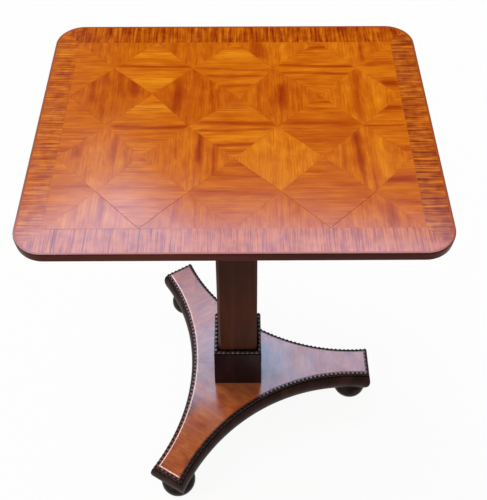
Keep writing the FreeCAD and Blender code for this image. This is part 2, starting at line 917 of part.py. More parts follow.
def make_plinth_beads():
    width = plinth_bead.value
    half = driving_sizes["column_base"] / 2

    def place(along, out, up):
        return FreeCAD.Vector(half + out, along * (half + out), plinth_top.value - width + up)

    strip = bead_moulding(driving_sizes["plinth_head"], width, place)
    for number, side in enumerate(("right", "back", "left", "front")):
        shape_node("plinth_beading_" + side, strip, quarter_turn * number)


# Feet


def make_feet():
    """Turned bun feet: a flattened ball with a neck and a spigot that goes up into the arm."""
    middle = size("foot_bulge")
    flat = size("foot_radius") - size("foot_bulge")
    for number, arm in enumerate(arm_names):
        angle = math.radians(arm_angle * number)
        body = new_body("foot_" + arm)
        bind(body, ".Placement.Base.x", column_x + foot_spread * math.cos(angle))
        bind(body, ".Placement.Base.y", foot_spread * math.sin(angle))
        profile = new_sketch(body, body.Label + "_profile", "XZ_Plane")
        inner = size("foot_neck") - flat
        neck_rise = Size(
            math.sqrt(middle.value ** 2 - inner.value ** 2),
            "sqrt(" + (middle * middle - inner * inner).text + ")",
        )
        ball_top = middle + neck_rise
        outline(
            profile,
            [
                (None, None),
                (flat, None),
                (size("foot_radius"), middle),
                (size("foot_neck"), ball_top),
                (size("foot_neck"), size("foot_height")),
                (size("spigot_radius"), size("foot_height")),
                (size("spigot_radius"), size("foot_height") + size("spigot_length")),
                (None, size("foot_height") + size("spigot_length")),
            ],
            arcs={1: (size("foot_bulge"), -1), 2: (size("foot_bulge"), -1)},
        )
        turned(body, "Revolution", profile, body.Label + "_turning")


make_top_board()
make_lipping()
make_crossbanding()
make_parquetry()
make_head_block()
make_bearers()
make_column()
make_plinth()
make_plinth_beads()
make_platform_core()
make_side_veneers()
make_top_leaves()
make_platform_beads()
make_feet()
doc.recompute()

# Checks and export

node_labels = []
for item in doc.Objects:
    if "Invalid" in item.State or "Error" in item.State:
        raise RuntimeError(item.Label + " has failed")
    is_body = item.TypeId == "PartDesign::Body" and item.Label != "column_turnery"
    is_shape = item.TypeId == "Part::Feature" and item.Label != "tenon_kerf"
    if is_body or is_shape or item.TypeId == "Part::Cut":
        node_labels.append(item.Label)

os.makedirs("parts", exist_ok=True)
for label in node_labels:
    node = doc.getObjectsByLabel(label)[0]
    if node.Shape.isNull() or not node.Shape.isValid():
        raise RuntimeError(label + " has no valid shape")
for label in node_labels:
    node = doc.getObjectsByLabel(label)[0]
    node.Shape.exportStep(os.path.join("parts", label + ".step"))
    print(label, len(node.Shape.Solids), round(node.Shape.Volume))
print(len(node_labels), "sub-parts")
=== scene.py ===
import math
import random

import bmesh
import bpy
from mathutils import Matrix, Vector


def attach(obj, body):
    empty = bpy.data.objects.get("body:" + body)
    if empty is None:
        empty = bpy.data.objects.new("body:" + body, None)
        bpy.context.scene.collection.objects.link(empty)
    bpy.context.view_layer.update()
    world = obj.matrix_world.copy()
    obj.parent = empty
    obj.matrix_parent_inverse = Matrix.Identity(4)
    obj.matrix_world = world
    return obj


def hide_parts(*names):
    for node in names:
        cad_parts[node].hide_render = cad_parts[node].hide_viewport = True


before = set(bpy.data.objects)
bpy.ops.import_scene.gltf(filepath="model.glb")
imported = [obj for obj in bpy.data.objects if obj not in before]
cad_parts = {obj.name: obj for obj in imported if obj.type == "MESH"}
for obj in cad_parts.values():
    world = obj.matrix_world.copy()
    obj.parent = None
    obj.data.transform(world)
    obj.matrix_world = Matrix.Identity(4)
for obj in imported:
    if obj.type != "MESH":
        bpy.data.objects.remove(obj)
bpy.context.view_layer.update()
scene = bpy.context.scene

# Sizes of the table, in metres, as the part has them

column_x = -0.0108
table_height = 0.730
veneer = 0.001
lozenge = 0.100
lozenge_rows = 3
lozenge_columns = 4
platform_top = 0.110
bead = 0.0076
bead_pitch = 0.00785
bead_bed = platform_top - bead
bead_stand = 0.0008
bead_seat = 0.0006
arm_length = 0.2468
arm_end_half = 0.0288
waist = 0.0854
tenon_radius = 0.017
plinth_top = 0.2277
plinth_bead = 0.00755
column_base_half = 0.03325
arc_distance = (
    (arm_length ** 2 + arm_end_half ** 2 - waist ** 2)
    / (arm_length + arm_end_half * math.sqrt(3) - 2 * waist)
)
arc_radius = arc_distance - waist
arm_names = ("right", "back_left", "front_left")
arm_turn = math.radians(120)
half_turn = arm_turn / 2

# Beads: their girth as a share of the moulding's width, their length as a share of their
# pitch, the core's radius and drop as shares of the girth, and the most girth a bead loses

girth_share = 0.98
length_share = 0.76
core_share = 0.36
core_drop_share = 0.13
bead_unevenness = 0.05

# How finely the meshes are divided, and when two points or heights count as one

strips_across_lozenge = 48
faces_along_strip = 10
leaf_arc_steps = 28
bead_arc_steps = 40
bore_steps = 8
bead_segments = 12
bead_rings = 7
core_sides = 10
same_point = 1e-6
same_height = 1e-9

# How far the corners of the hand-laid lozenges lie from their true places, in lozenges

hand_laid_shares = {
    (-1, 2): (-0.032, -0.006),
    (1, 2): (-0.021, -0.003),
    (2, 3): (0.064, 0),
    (-2, 1): (0.006, 0.031),
    (0, 1): (0.064, -0.041),
    (2, 1): (0.040, -0.009),
    (-1, 0): (-0.041, -0.009),
    (1, 0): (-0.001, -0.024),
    (-2, -1): (-0.062, 0.021),
    (0, -1): (-0.010, -0.022),
    (3, -2): (0.014, -0.025),
    (-1, -2): (-0.013, -0.015),
}

# Joints between lozenges that have opened with age, by the corners they run between

open_joints = [
    {(-3, -2), (-2, -3)}, {(-2, -3), (-1, -2)}, {(1, -2), (2, -3)}, {(2, -3), (3, -2)},
    {(0, 3), (1, 2)}, {(0, -1), (1, -2)},
]
closed_joint = 0.00007
open_joint = 0.00022

# How a streak in a lozenge waves, spreads and fades at its ends, in millimetres

streak_wave = 1.5
streak_wave_length = 23.0
streak_spread = 0.62
streak_fade = 9.0
millimetres_per_metre = 1000

# Each lozenge's figure: its tone, then dark (or light, below nought) streaks along its grain.
# A streak is its distance across the grain and its width in millimetres, its depth, and where
# it begins and ends along the grain.

lozenge_figures = {
    (-2, 2): (-0.03, [(4, 4, 0.5, -50, 50), (-3, 2, 0.2, -45, 30), (27, 1.6, -0.75, -27, 22),
                     (-24, 12, -0.32, -25, 26), (15, 3, 0.12, -30, 30), (22, 5, -0.2, -25, 28)]),
    (0, 2): (-0.01, [(-2, 2, 0.45, -50, 48), (-14, 5, 0.45, -36, 32), (-32, 4, 0.45, -20, 20),
                    (25, 12, -0.42, -25, 24), (8, 1.5, 0.22, -40, 20)]),
    (2, 2): (0.0, [(38, 6, 0.42, -8, 30), (18, 2, 0.2, -22, 20), (4, 3.0, 0.62, -48, 48),
                   (-3, 1.5, -0.3, -45, 0), (-10, 3, 0.48, -44, 44), (-26, 8, 0.1, -20, 20)]),
    (-4, 2): (0.06, [(20, 2, 0.15, 0, 50), (-10, 2, 0.15, 0, 50), (-36, 2, 0.2, 0, 50)]),
    (4, 2): (0.0, [(8, 8, 0.42, -36, 0), (-30, 11, 0.62, -22, 0), (-12, 8, -0.15, -30, 0)]),
    (-2, 0): (-0.01, [(30, 12, -0.22, -25, 25), (12, 1.5, 0.28, -35, 30), (-2, 5, 0.62, -45, 50),
                     (-13, 2, 0.3, -40, 30), (-23, 2, 0.3, -28, 22), (27, 3, 0.3, 8, 16)]),
    (0, 0): (-0.03, [(35, 2, 0.3, -20, 20), (43, 3, 0.4, -12, 12), (18, 2, 0.15, -30, 30),
                   (3, 5, 0.55, -46, 48), (-7, 3, 0.4, -42, 40), (-20, 7, -0.18, -30, 30),
                   (-31, 4, 0.62, -26, 22), (-42, 4, 0.35, -14, 14)]),
    (2, 0): (0.08, [(38, 2, 0.25, -14, 14), (28, 2, 0.2, -22, 22), (45, 4, 0.35, -8, 8),
                    (4, 8, 0.34, -44, 46), (-22, 22, 0.14, -40, 40)]),
    (-4, 0): (0.09, [(25, 2, 0.15, 0, 50), (-20, 2, 0.2, 0, 50), (-38, 3, 0.2, 0, 40)]),
    (4, 0): (0.02, [(30, 8, 0.62, -26, 0), (12, 6, -0.15, -40, 0), (0, 2.5, 0.45, -48, 0),
                    (-42, 8, 0.25, -30, 0)]),
    (-2, -2): (0.0, [(46, 5, 0.4, -8, 8), (6, 4, 0.25, -44, 44), (-23, 1.5, 0.2, -30, 30),
                     (28, 3, 0.12, -30, 30)]),
    (0, -2): (0.08, [(40, 8, 0.15, -20, 20), (22, 3, 0.22, -32, 32), (-2, 6, 0.25, -46, 46),
                     (-30, 3, 0.1, -20, 20)]),
    (2, -2): (0.10, [(10, 2, 0.15, -40, 40), (-12, 3, 0.12, -36, 36), (30, 2, 0.12, -20, 20)]),
    (-4, -2): (0.02, [(7, 9, 0.32, 0, 50), (30, 3, 0.12, 0, 20), (-25, 4, -0.1, 0, 30)]),
    (4, -2): (0.06, [(15, 8, 0.68, -38, 0), (-15, 5, 0.22, -40, 0), (-32, 4, 0.12, -30, 0)]),
    (-3, 1): (0.19, [(26, 9, 0.45, 0, 40), (11, 5, 0.32, 4, 46), (-23, 4, 0.42, -8, 36),
                     (-8, 6, 0.12, -40, 40), (14, 10, -0.1, -40, -5)]),
    (-1, 1): (0.18, [(-19, 10, 0.48, -28, 28), (22, 3, 0.32, -26, 26), (31, 2, 0.2, -18, 18),
                     (2, 8, 0.2, 20, 50)]),
    (1, 1): (0.15, [(6, 11, 0.50, -18, 20), (-20, 3, 0.25, -26, 26), (28, 2, 0.2, -18, 18),
                    (-30, 8, -0.15, -18, 18)]),
    (3, 1): (-0.03, [(-1, 9, 0.4, -45, 48), (-21, 3, 0.12, -24, 24), (25, 12, -0.12, -22, 22),
                   (38, 1.5, 0.2, -14, 14)]),
    (-3, -1): (0.07, [(-28, 8, 0.35, 0, 20), (13, 5, 0.36, -4, 38), (29, 3, 0.2, -18, 18),
                      (-6, 8, -0.12, -40, 40)]),
    (-1, -1): (0.06, [(11, 5, 0.68, -8, 42), (26, 4, 0.4, -28, 26), (-18, 2, 0.3, -4, 22),
                      (-8, 8, -0.1, -40, 40)]),
    (1, -1): (-0.10, [(-17, 2, -0.15, -30, 30), (18, 2, 0.12, -30, 30), (6, 8, -0.12, -42, 10)]),
    (3, -1): (0.04, [(-10, 7, 0.62, -16, 38), (-26, 3, 0.25, -20, 20), (17, 8, -0.34, -30, 28),
                     (3, 3, 0.4, -50, -24), (-8, 3, 0.3, -46, -14)]),
    (-3, 3): (0.08, [(0, 2, 0.15, -50, 0), (-24, 4, 0.1, -20, 0)]),
    (-1, 3): (0.08, [(-28, 6, 0.35, -20, 0), (18, 3, 0.15, -30, 0)]),
    (1, 3): (0.02, [(-22, 14, 0.55, -30, 0), (9, 6, -0.2, -40, 0)]),
    (3, 3): (0.0, [(-20, 6, -0.1, -28, 0), (12, 5, 0.42, -36, 0), (30, 8, 0.22, -18, 0)]),
    (-3, -3): (-0.02, [(7, 7, 0.34, 0, 48), (-30, 6, -0.1, 0, 18)]),
    (-1, -3): (0.08, [(-14, 3, 0.12, 0, 34), (20, 3, 0.1, 0, 28)]),
    (1, -3): (0.04, [(10, 3, 0.1, 0, 38), (-20, 4, 0.08, 0, 28)]),
    (3, -3): (0.05, [(14, 11, 0.36, 0, 34), (-22, 8, -0.1, 0, 26)]),
}


# Node helpers


def add(tree, kind, inputs=None, **settings):
    """Adds a node, sets its settings and feeds its inputs from values or other sockets."""
    made = tree.nodes.new(kind)
    for name, value in settings.items():
        setattr(made, name, value)
    for key, value in (inputs or {}).items():
        if isinstance(value, bpy.types.NodeSocket):
            tree.links.new(value, made.inputs[key])
        else:
            made.inputs[key].default_value = value
    return made


def maths(tree, operation, first, second=0.0, third=0.0, clamp=False):
    """The result of one sum on up to three values."""
    return add(
        tree, "ShaderNodeMath", {0: first, 1: second, 2: third},
        operation=operation, use_clamp=clamp,
    ).outputs[0]


def remap(tree, value, low, high, to_low=0.0, to_high=1.0, smooth=True):
    """A value that goes between two others while the given one goes from low to high."""
    made = add(
        tree, "ShaderNodeMapRange",
        {"Value": value, "From Min": low, "From Max": high, "To Min": to_low, "To Max": to_high},
        interpolation_type="SMOOTHSTEP" if smooth else "LINEAR",
    )
    return made.outputs["Result"]


def product(tree, first, *others):
    """All the values multiplied."""
    for other in others:
        first = maths(tree, "MULTIPLY", first, other)
    return first


def toward(tree, direction, aim):
    """How nearly a direction agrees with an aim, up to one."""
    made = add(tree, "ShaderNodeVectorMath", {0: direction, 1: aim}, operation="DOT_PRODUCT")
    return made.outputs["Value"]


def mixed(tree, share, first, second):
    """The first colour, turned into the second one by the share."""
    made = add(tree, "ShaderNodeMix", {0: share, 6: first, 7: second}, data_type="RGBA")
    return made.outputs[2]


def ramp(tree, value, stops):
    """A colour ramp through (place, colour) stops."""
    made = add(tree, "ShaderNodeValToRGB", {"Fac": value})
    elements = made.color_ramp.elements
    while len(elements) < len(stops):
        elements.new(1.0)
    for element, (place, colour) in zip(elements, stops):
        element.position = place
        element.color = opaque(colour)
    return made.outputs["Color"]


def opaque(colour):
    return (colour[0], colour[1], colour[2], 1.0)


def noise(tree, place, size, detail=2.0, distortion=0.0, shift=0.0):
    """Cloudy noise whose features have the given size along, across and through, in metres."""
    scale = tuple(1 / length for length in size)
    stretched = add(
        tree, "ShaderNodeMapping",
        {"Vector": place, "Scale": scale, "Location": (shift, shift, shift)},
    )
    made = add(
        tree, "ShaderNodeTexNoise",
        {"Vector": stretched.outputs[0], "Scale": 1.0, "Detail": detail,
         "Distortion": distortion},
    )
    return made.outputs["Fac"]


def weighed(tree, start, parts):
    """start plus each part's departure from a half, times its weight."""
    total = start
    for socket, weight in parts:
        share = maths(tree, "SUBTRACT", socket, 0.5)
        total = maths(tree, "MULTIPLY_ADD", share, weight, total)
    return total


def new_finish(name):
    """A new material, with its node tree and its surface shader."""
    material = bpy.data.materials.new(name)
    material.use_nodes = True
    tree = material.node_tree
    tree.nodes.clear()
    output = add(tree, "ShaderNodeOutputMaterial")
    surface = add(tree, "ShaderNodeBsdfPrincipled")
    tree.links.new(surface.outputs[0], output.inputs["Surface"])
    return material, tree, surface


def feed(tree, surface, colour, roughness, height, depth, constants):
    """Joins a finish's colour, roughness and relief to its surface shader."""
    relief = add(
        tree, "ShaderNodeBump", {"Height": height, "Strength": 1.0, "Distance": depth}
    )
    tree.links.new(colour, surface.inputs["Base Color"])
    tree.links.new(roughness, surface.inputs["Roughness"])
    tree.links.new(relief.outputs[0], surface.inputs["Normal"])
    for key, value in constants.items():
        surface.inputs[key].default_value = value


# Colours without a wood of their own, the fine parts of every wood and the relief of the
# other finishes, in metres

black = (0, 0, 0, 1)
black_polish = (0.010, 0.006, 0.006)
# A painted highlight: the lighter colour given to the lipping's upward faces in place of light
# from above
top_painted_highlight = (0.42, 0.082, 0.008, 1)
# Colour of the platform's crack and dark figure, also used for the painted shade round the plinth
platform_mark_and_shade = (0.10, 0.062, 0.052)
pore_size = (0.0045, 0.00035, 0.00035)
pore_depth = 0.000006
pore_shade = 0.45
layer_shift = 7.3
crack_width = 0.0007
polish_relief = 0.00003
rough_relief = 0.00002

# The place on a wood's colour stops that a value of one comes to

full_value_place = 0.85

# Woods: colours from dark to light, the mean place between them, the sizes of the broad
# figure, the stripes, the pin lines and the dark lines along and across the grain with their
# weights, and the polish

golden_wood = {
    "stops": [(0.0, (0.33, 0.034, 0.002)), (0.21, (0.42, 0.057, 0.002)),
              (0.43, (0.52, 0.092, 0.003)), (0.64, (0.65, 0.147, 0.004)),
              (0.85, (0.78, 0.225, 0.007)), (1.0, (0.85, 0.29, 0.010))],
    "mean": 0.83,
    "broad": ((0.030, 0.009), 0.32),
    "stripes": ((0.090, 0.0027), 0.32),
    "pins": ((0.030, 0.0011), 0.38),
    "lines": ((0.055, 0.0012), 0.60),
    "roughness": (0.08, 0.12),
    "gloss": {"IOR": 1.55, "Specular IOR Level": 1.0},
}
cross_veneer_wood = dict(
    golden_wood,
    broad=((0.017, 0.009), 0.36),
    stripes=((0.055, 0.0026), 0.22),
    pins=((0.024, 0.0010), 0.33),
    lines=((0.035, 0.0011), 0.45),
)
crossband_wood = dict(
    golden_wood,
    stops=[(0.0, (0.20, 0.018, 0.002)), (0.21, (0.32, 0.036, 0.002)),
           (0.43, (0.47, 0.084, 0.003)), (0.64, (0.62, 0.140, 0.004)),
           (0.85, (0.78, 0.225, 0.007)), (1.0, (0.85, 0.29, 0.010))],
    broad=((0.010, 0.012), 0.42),
    stripes=((0.045, 0.0036), 0.85),
    pins=((0.030, 0.0013), 0.75),
    lines=((0.040, 0.0013), 0.45),
)
back_band_wood = dict(
    crossband_wood, mean=0.57, stripes=((0.060, 0.0046), 0.98), pins=((0.030, 0.0013), 0.55)
)
left_band_wood = dict(crossband_wood, mean=0.71, stripes=((0.045, 0.0029), 0.66))
right_band_wood = dict(
    crossband_wood,
    stops=[(0.0, (0.17, 0.017, 0.003)), (0.43, (0.43, 0.080, 0.010)),
           (0.85, (0.75, 0.220, 0.017))],
    mean=0.61, stripes=((0.045, 0.0034), 1.00),
)
front_band_wood = dict(
    crossband_wood,
    stops=[(0.0, (0.26, 0.034, 0.010)), (0.43, (0.49, 0.092, 0.020)),
           (0.85, (0.76, 0.215, 0.036))],
    mean=0.77, stripes=((0.060, 0.0028), 0.68), pins=((0.030, 0.0013), 0.85),
)
platform_wood = dict(
    golden_wood,
    stops=[(0.0, (0.18, 0.034, 0.014)), (0.26, (0.30, 0.060, 0.018)),
           (0.47, (0.41, 0.102, 0.026)), (0.85, (0.58, 0.180, 0.040))],
    mean=0.56,
    broad=((0.026, 0.013), 0.64),
    stripes=((0.060, 0.0036), 0.17),
    pins=((0.030, 0.0012), 0.11),
    lines=((0.030, 0.0012), 0.22),
    roughness=(0.15, 0.21),
)
mahogany = {
    "stops": [(0.0, (0.024, 0.008, 0.004)), (0.38, (0.042, 0.0115, 0.0055)),
              (0.64, (0.056, 0.015, 0.007)), (0.85, (0.078, 0.022, 0.010))],
    "mean": 0.52,
    "broad": ((0.220, 0.022), 0.8),
    "stripes": ((0.300, 0.0040), 0.35),
    "pins": ((0.030, 0.0008), 0.25),
    "lines": ((0.120, 0.0011), 0.30),
    "roughness": (0.30, 0.42),
    "gloss": {"IOR": 1.45, "Specular IOR Level": 0.03, "Specular Tint": (0.9, 0.5, 0.4, 1)},
}
plinth_wood = dict(
    mahogany,
    stops=[(0.0, (0.008, 0.0035, 0.0042)), (0.42, (0.013, 0.0050, 0.0062)),
           (0.85, (0.028, 0.009, 0.0098))],
)
edge_wood = dict(
    mahogany,
    stops=[(0.0, (0.028, 0.006, 0.003)), (0.42, (0.056, 0.010, 0.005)),
           (0.85, (0.105, 0.021, 0.011))],
    gloss={"IOR": 1.45, "Specular IOR Level": 0.06, "Specular Tint": (0.9, 0.5, 0.4, 1),
           "Coat Roughness": 0.10, "Coat IOR": 1.8},
)
side_wood = dict(
    mahogany,
    stops=[(0.0, (0.011, 0.0046, 0.0034)), (0.42, (0.020, 0.0074, 0.0056)),
           (0.85, (0.048, 0.018, 0.011))],
    gloss={"IOR": 1.3, "Specular IOR Level": 0.03, "Specular Tint": (0.9, 0.5, 0.4, 1)},
)
ground_wood = dict(
    mahogany,
    stops=[(0.0, (0.10, 0.045, 0.02)), (0.5, (0.17, 0.08, 0.035)), (1.0, (0.26, 0.13, 0.06))],
    broad=((0.300, 0.030), 0.6),
    roughness=(0.55, 0.72),
)


def wood(
    name, recipe, turn=(0, 0, 0), centre=(0, 0, 0), laid=False,
    marks_and_shade=None, mark_and_shade_colour=(0.02, 0.008, 0.006), top_coat_and_painted_highlight=False,
):
    """A polished wood whose grain runs along X of its turned coordinates.

    laid is for veneers that carry their own grain map, tone and figure. The marks argument may
    turn the colour further towards the mark colour, both for real marks and for painted shade: it
    gets the tree and the turned coordinates and returns a share. The top argument gives the faces
    that look up a gloss coat and a painted highlight, the top's lighter colour in place of light
    from above.
    """
    material, tree, surface = new_finish(name)
    if laid:
        place = add(tree, "ShaderNodeUVMap", uv_map="grain").outputs[0]
        figure = add(tree, "ShaderNodeAttribute", attribute_name="figure").outputs["Fac"]
        start = maths(tree, "SUBTRACT", recipe["mean"], figure)
    else:
        coordinates = add(tree, "ShaderNodeTexCoord").outputs["Object"]
        place = add(
            tree, "ShaderNodeMapping",
            {"Vector": coordinates, "Location": centre, "Rotation": turn},
            vector_type="TEXTURE",
        ).outputs[0]
        start = recipe["mean"]
    sockets = {}
    for number, key in enumerate(("broad", "stripes", "pins")):
        (along, across), weight = recipe[key]
        cloud = noise(
            tree, place, (along, across, across), detail=3.0, distortion=0.25,
            shift=layer_shift * number,
        )
        sockets[key] = (cloud, weight * 2)
    value = weighed(tree, start, sockets.values())
    colour = ramp(tree, product(tree, value, full_value_place), recipe["stops"])
    pores = remap(tree, noise(tree, place, pore_size, shift=31.0), 0.60, 0.72)
    (along, across), weight = recipe["lines"]
    dark_lines = noise(tree, place, (along, across, across), shift=67.0)
    dark_lines = remap(tree, dark_lines, 0.60, 0.71, 0.0, weight)
    shade = maths(tree, "MAXIMUM", product(tree, pores, pore_shade), dark_lines)
    colour = mixed(tree, shade, colour, opaque(recipe["stops"][0][1]))
    # Marks, and painted shade where a piece is given it, darken the colour
    if marks_and_shade:
        colour = mixed(tree, marks_and_shade(tree, place), colour, opaque(mark_and_shade_colour))
    low, high = recipe["roughness"]
    wear = noise(tree, place, (0.05, 0.03, 0.03), detail=4.0, shift=53.0)
    roughness = remap(tree, wear, 0.3, 0.7, low, high)
    # Faces that look up get a real gloss coat and a painted highlight in the top's lighter colour
    if top_coat_and_painted_highlight:
        normal = add(tree, "ShaderNodeNewGeometry").outputs["Normal"]
        upward = add(tree, "ShaderNodeSeparateXYZ", {0: normal}).outputs[2]
        on_top = remap(tree, upward, 0.95, 0.99)
        colour = mixed(tree, on_top, colour, top_painted_highlight)
        tree.links.new(on_top, surface.inputs["Coat Weight"])
    pins = sockets["pins"][0]
    height = maths(tree, "SUBTRACT", product(tree, pins, 0.5), pores)
    feed(tree, surface, colour, roughness, height, pore_depth, recipe["gloss"])
    return material


def ebonised(name, body, worn, sheen=0.12, smoothest=0.20):
    """Black polish over brown wood, thinner in cloudy patches and a little streaked."""
    material, tree, surface = new_finish(name)
    place = add(tree, "ShaderNodeTexCoord").outputs["Object"]
    cloud = noise(tree, place, (0.012, 0.012, 0.006), detail=4.0)
    fine = noise(tree, place, (0.0016, 0.0016, 0.0010), detail=2.0, shift=9.0)
    rubbed = remap(tree, weighed(tree, cloud, [(fine, 0.4)]), 0.48, 0.74)
    colour = mixed(tree, rubbed, opaque(body), opaque(worn))
    roughness = remap(tree, cloud, 0.3, 0.7, smoothest, smoothest + 0.14)
    feed(tree, surface, colour, roughness, fine, polish_relief,
         {"IOR": 1.5, "Specular IOR Level": sheen})
    return material


def painted_glint_hollow(name, share):
    """Pale colour between the beads, a painted highlight that stands in for glints there, over a
    share of its full strength.
    """
    material, tree, surface = new_finish(name)
    place = add(tree, "ShaderNodeTexCoord").outputs["Object"]
    cloud = noise(tree, place, (0.006, 0.006, 0.006), detail=4.0)
    colour = ramp(tree, cloud, [
        (0.32, (0.045, 0.022, 0.020)), (0.50, (0.150, 0.088, 0.084)), (0.70, (0.34, 0.22, 0.21)),
    ])
    colour = mixed(tree, share, opaque(black_polish), colour)
    roughness = remap(tree, cloud, 0.3, 0.7, 0.28, 0.16)
    fine = noise(tree, place, (0.0008, 0.0008, 0.0008))
    feed(tree, surface, colour, roughness, fine, rough_relief,
         {"IOR": 1.5, "Specular IOR Level": 0.5})
    return material


def screw_steel(name):
    """Old iron, dull where it has browned."""
    material, tree, surface = new_finish(name)
    place = add(tree, "ShaderNodeTexCoord").outputs["Object"]
    cloud = noise(tree, place, (0.003, 0.003, 0.003), detail=4.0)
    colour = ramp(tree, cloud, [(0.3, (0.10, 0.08, 0.065)), (0.7, (0.32, 0.30, 0.28))])
    roughness = remap(tree, cloud, 0.3, 0.7, 0.55, 0.32)
    fine = noise(tree, place, (0.0006, 0.0006, 0.0006))
    feed(tree, surface, colour, roughness, fine, rough_relief, {"Metallic": 1.0})
    return material


# Marks and painted shade on single pieces


def thin_line(tree, value, place, width):
    """One where a value is within half a width of a place."""
    distance = maths(tree, "ABSOLUTE", maths(tree, "SUBTRACT", value, place))
    return remap(tree, distance, width * 0.4, width * 0.9, 1.0, 0.0)


def front_band_cracks(tree, place):
    """Hairline cracks across the front banding near its left end, and its open inner joint."""
    parts = add(tree, "ShaderNodeSeparateXYZ", {0: place})
    across = parts.outputs[1]
    wander = noise(tree, place, (0.02, 0.02, 0.02), shift=3.0)
    bent = weighed(tree, across, [(wander, 0.003)])
    total = 0.0
    for where, depth in ((0.1868, 0.85), (0.1545, 0.6), (0.0985, 0.6), (0.0660, 0.35)):
        line = thin_line(tree, bent, where, crack_width)
        total = maths(tree, "MULTIPLY_ADD", line, depth, total, clamp=True)
    inner_edge = -0.1503
    joint = thin_line(tree, parts.outputs[0], inner_edge, crack_width)
    joint = product(tree, joint, remap(tree, across, 0.040, 0.100, 0.0, 0.50))
    return maths(tree, "MAXIMUM", total, joint)


def painted_shade_round_plinth(tree, place):
    """Painted shade: the platform darker round the foot of the plinth, where the plinth's shadow
    and dark reflection fall.
    """
    away = add(tree, "ShaderNodeVectorMath", {0: place}, operation="LENGTH").outputs["Value"]
    ragged = noise(tree, place, (0.012, 0.012, 0.012), detail=4.0, shift=17.0)
    away = weighed(tree, away, [(ragged, 0.03)])
    return remap(tree, away, 0.112, 0.150, 0.40, 0.0)


def arm_crack_and_painted_shade(tree, place):
    """A short crack along the cross grain of the back left arm, and the painted shade round the
    plinth.
    """
    parts = add(tree, "ShaderNodeSeparateXYZ", {0: place})
    from_column = maths(tree, "ABSOLUTE", parts.outputs[1])
    line = thin_line(tree, from_column, 0.1188, crack_width)
    near = remap(tree, maths(tree, "ABSOLUTE", parts.outputs[0]), 0.012, 0.016, 1.0, 0.0)
    crack = product(tree, line, near, 0.7)
    return maths(tree, "MAXIMUM", crack, painted_shade_round_plinth(tree, place))


def dark_figure_and_painted_shade(tree, place):
    """A patch of dark streaks beside the left hollow of the front left arm, and the painted shade
    round the plinth.
    """
    off_middle = add(
        tree, "ShaderNodeMapping",
        {"Vector": place, "Location": (-0.035, -0.120, 0), "Scale": (0.022, 0.030, 1)},
        vector_type="TEXTURE",
    )
    away = add(tree, "ShaderNodeVectorMath", {0: off_middle.outputs[0]}, operation="LENGTH")
    patch = remap(tree, away.outputs["Value"], 0.4, 1.2, 1.0, 0.0)
    streaks = noise(tree, place, (0.030, 0.0042, 0.0042), detail=3.0, distortion=0.4, shift=41.0)
    share = product(tree, patch, remap(tree, streaks, 0.34, 0.62, 0.15, 0.80))
    return maths(tree, "MAXIMUM", share, painted_shade_round_plinth(tree, place))


def painted_shade_under_top(tree, place):
    """Painted shade: the column darker towards its head, under the table's top."""
    height = add(tree, "ShaderNodeSeparateXYZ", {0: place}).outputs[0]
    return remap(tree, height, 0.35, 0.48, 0.0, 0.45)


# Each arm's marks, with the painted shade round the plinth on all three arms
platform_marks_and_shade = {
    "right": painted_shade_round_plinth,
    "back_left": arm_crack_and_painted_shade,
    "front_left": dark_figure_and_painted_shade,
}


# Mesh helpers


def finished_piece(name, mesh, node):
    """Puts a mesh in the scene as the piece that stands for a node."""
    piece = bpy.data.objects.new(name, mesh)
    scene.collection.objects.link(piece)
    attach(piece, "root")
    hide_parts(node)


def close_up(mesh_tool, name):
    """Cleans a bmesh and makes it a mesh with its faces pointing out."""
    bmesh.ops.remove_doubles(mesh_tool, verts=mesh_tool.verts, dist=same_point)
    bmesh.ops.recalc_face_normals(mesh_tool, faces=mesh_tool.faces)
    mesh = bpy.data.meshes.new(name)
    mesh_tool.to_mesh(mesh)
    mesh_tool.free()
    return mesh


# Parquetry


def lozenge_corner(column, row):
    """A corner by its number of half lozenges from the middle of the top."""
    shift_x, shift_y = hand_laid_shares.get((column, row), (0, 0))
    return Vector(((column / 2 + shift_x) * lozenge, (row / 2 + shift_y) * lozenge))


def lozenge_outline(column, row):
    """A lozenge's corners, anticlockwise, drawn in by half of each joint."""
    around = [(column + 1, row), (column, row + 1), (column - 1, row), (column, row - 1)]
    places = [
        place for place in around
        if abs(place[0]) <= lozenge_columns and abs(place[1]) <= lozenge_rows
    ]
    lines = []
    for number, place in enumerate(places):
        following = places[(number + 1) % len(places)]
        start, end = lozenge_corner(*place), lozenge_corner(*following)
        along = (end - start).normalized()
        inward = Vector((-along.y, along.x))
        joint = open_joint if {place, following} in open_joints else closed_joint
        lines.append((start + inward * joint, along))
    corners = []
    for number, (point, along) in enumerate(lines):
        before, before_along = lines[number - 1]
        gap = point - before
        share = (gap.x * along.y - gap.y * along.x) / (
            before_along.x * along.y - before_along.y * along.x
        )
        corners.append(before + before_along * share)
    return corners


def chord(corners, across):
    """Where a line along the grain enters and leaves the outline."""
    crossings = []
    for number, start in enumerate(corners):
        end = corners[(number + 1) % len(corners)]
        low, high = sorted((start[1], end[1]))
        if low - same_height <= across <= high + same_height:
            if high - low < same_height:
                crossings += [start[0], end[0]]
            else:
                share = (across - start[1]) / (end[1] - start[1])
                crossings.append(start[0] + (end[0] - start[0]) * share)
    return min(crossings), max(crossings)


def streak_depth(streaks, along, across):
    """How much all the streaks darken a place, given in millimetres from the middle."""
    depth = 0.0
    for middle, width, strength, begin, end in streaks:
        bow = streak_wave * math.sin(along / streak_wave_length + middle)
        off = (across - middle - bow) / (width * streak_spread)
        fade = min(1.0, max(0.0, (along - begin) / streak_fade + 0.5))
        fade *= min(1.0, max(0.0, (end - along) / streak_fade + 0.5))
        depth += strength * fade * math.exp(-off * off)
    return depth


